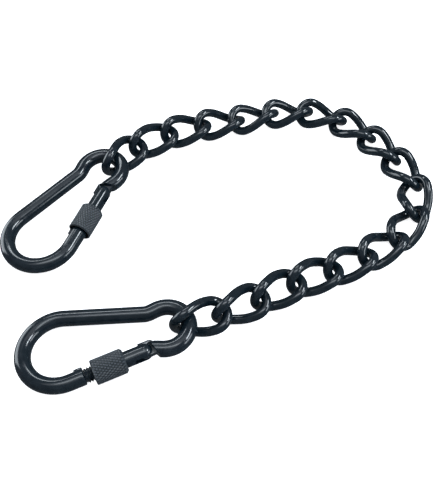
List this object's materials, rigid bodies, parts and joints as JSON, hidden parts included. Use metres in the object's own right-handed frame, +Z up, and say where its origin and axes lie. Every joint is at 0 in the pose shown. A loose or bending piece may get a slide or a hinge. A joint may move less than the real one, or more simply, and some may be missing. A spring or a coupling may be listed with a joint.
{
  "type": "chain with snap hooks",
  "caption": "Short black chain of twisted links lying in a U, with a pear-shaped screw-lock snap hook at each end.",
  "frame": {"origin": "centre of the footprint, on the floor that the chain lies on", "axes": "+Z up; +X along the footprint's long side, from the hooks to the bend"},
  "size_m": [0.2118, 0.1707, 0.0175],
  "materials": {
    "chain_coat": "satin black coat on steel wire",
    "hook_coat": "satin black coat on steel rod",
    "sleeve_coat": "black coat on a knurled steel sleeve",
    "rivet_coat": "black coat on a steel rivet"
  },
  "bodies": {
    "upper_hook": {"upper_hook_body": "hook_coat", "upper_gate": "hook_coat", "upper_gate_rivet": "rivet_coat"},
    "upper_sleeve": {"upper_lock_sleeve": "sleeve_coat"},
    "link_01": {"link_01": "chain_coat"},
    "link_02": {"link_02": "chain_coat"},
    "link_03": {"link_03": "chain_coat"},
    "link_04": {"link_04": "chain_coat"},
    "link_05": {"link_05": "chain_coat"},
    "link_06": {"link_06": "chain_coat"},
    "link_07": {"link_07": "chain_coat"},
    "link_08": {"link_08": "chain_coat"},
    "link_09": {"link_09": "chain_coat"},
    "link_10": {"link_10": "chain_coat"},
    "link_11": {"link_11": "chain_coat"},
    "link_12": {"link_12": "chain_coat"},
    "link_13": {"link_13": "chain_coat"},
    "link_14": {"link_14": "chain_coat"},
    "link_15": {"link_15": "chain_coat"},
    "link_16": {"link_16": "chain_coat"},
    "link_17": {"link_17": "chain_coat"},
    "link_18": {"link_18": "chain_coat"},
    "lower_hook": {"lower_hook_body": "hook_coat"},
    "lower_gate": {"lower_gate": "hook_coat", "lower_gate_rivet": "rivet_coat"},
    "lower_sleeve": {"lower_lock_sleeve": "sleeve_coat"}
  },
  "joints": [
    {"name": "upper_eye_swing", "type": "hinge", "parent": "link_01", "child": "upper_hook", "pos_m": [-0.0601, 0.0336, 0.00829], "axis": [-0.0715, -0.0374, 0.9967], "range_deg": [-70, 60]},
    {"name": "swing_01_02", "type": "hinge", "parent": "link_02", "child": "link_01", "pos_m": [-0.04322, 0.05108, 0.0084], "axis": [0, 0, -1], "range_deg": [-6, 34]},
    {"name": "swing_02_03", "type": "hinge", "parent": "link_03", "child": "link_02", "pos_m": [-0.02702, 0.06081, 0.00754], "axis": [0, 0, 1], "range_deg": [-26, 8]},
    {"name": "swing_03_04", "type": "hinge", "parent": "link_04", "child": "link_03", "pos_m": [-0.00937, 0.06759, 0.00652], "axis": [0, 0, -1], "range_deg": [-14, 26]},
    {"name": "swing_04_05", "type": "hinge", "parent": "link_05", "child": "link_04", "pos_m": [0.00896, 0.07216, 0.00568], "axis": [0, 0, 1], "range_deg": [-24, 10]},
    {"name": "swing_05_06", "type": "hinge", "parent": "link_06", "child": "link_05", "pos_m": [0.02745, 0.07609, 0.00667], "axis": [0, 0, -1], "range_deg": [-8, 40]},
    {"name": "swing_06_07", "type": "hinge", "parent": "link_07", "child": "link_06", "pos_m": [0.0463, 0.07741, 0.00696], "axis": [0, 0, 1], "range_deg": [-56, 6]},
    {"name": "swing_07_08", "type": "hinge", "parent": "link_08", "child": "link_07", "pos_m": [0.06428, 0.07157, 0.00682], "axis": [0, 0, -1], "range_deg": [-6, 56]},
    {"name": "swing_08_09", "type": "hinge", "parent": "link_09", "child": "link_08", "pos_m": [0.07876, 0.05942, 0.00667], "axis": [0, 0, 1], "range_deg": [-46, 4]},
    {"name": "swing_09_10", "type": "hinge", "parent": "link_10", "child": "link_09", "pos_m": [0.08987, 0.04413, 0.00682], "axis": [0, 0, -1], "range_deg": [-4, 44]},
    {"name": "swing_10_11", "type": "hinge", "parent": "link_10", "child": "link_11", "pos_m": [0.09815, 0.02714, 0.00652], "axis": [0, 0, 1], "range_deg": [-4, 70]},
    {"name": "swing_11_12", "type": "hinge", "parent": "link_11", "child": "link_12", "pos_m": [0.09618, 0.00834, 0.00628], "axis": [0, 0, -1], "range_deg": [-64, 4]},
    {"name": "swing_12_13", "type": "hinge", "parent": "link_12", "child": "link_13", "pos_m": [0.0848, -0.00675, 0.00594], "axis": [0, 0, 1], "range_deg": [-6, 50]},
    {"name": "swing_13_14", "type": "hinge", "parent": "link_13", "child": "link_14", "pos_m": [0.06895, -0.01704, 0.00644], "axis": [0, 0, -1], "range_deg": [-34, 6]},
    {"name": "swing_14_15", "type": "hinge", "parent": "link_14", "child": "link_15", "pos_m": [0.05196, -0.02533, 0.00717], "axis": [0, 0, 1], "range_deg": [-8, 26]},
    {"name": "swing_15_16", "type": "hinge", "parent": "link_15", "child": "link_16", "pos_m": [0.03444, -0.03241, 0.00785], "axis": [0, 0, -1], "range_deg": [-18, 10]},
    {"name": "swing_16_17", "type": "hinge", "parent": "link_16", "child": "link_17", "pos_m": [0.01775, -0.04128, 0.0084], "axis": [0, 0, 1], "range_deg": [-12, 26]},
    {"name": "swing_17_18", "type": "hinge", "parent": "link_17", "child": "link_18", "pos_m": [0.00049, -0.04897, 0.00887], "axis": [0, 0, -1], "range_deg": [-36, 16]},
    {"name": "lower_eye_swing", "type": "hinge", "parent": "link_18", "child": "lower_hook", "pos_m": [-0.02383, -0.05594, 0.00829], "axis": [-0.0774, 0.0228, 0.9967], "range_deg": [-28, 60]},
    {"name": "lower_gate_open", "type": "hinge", "parent": "lower_hook", "child": "lower_gate", "pos_m": [-0.03223, -0.06744, 0.0079], "axis": [0.0774, -0.0228, -0.9967], "range_deg": [0, 30], "stiffness_Nm_per_rad": 0.03, "springref_deg": -28.65},
    {"name": "lower_sleeve_screw", "type": "slide", "parent": "lower_gate", "child": "lower_sleeve", "axis": [-0.9186, -0.3902, -0.0624], "range_m": [0, 0.0035]},
    {"name": "upper_sleeve_screw", "type": "slide", "parent": "upper_hook", "child": "upper_sleeve", "axis": [0.3898, 0.9188, 0.0624], "range_m": [0, 0.0035]}
  ]
}
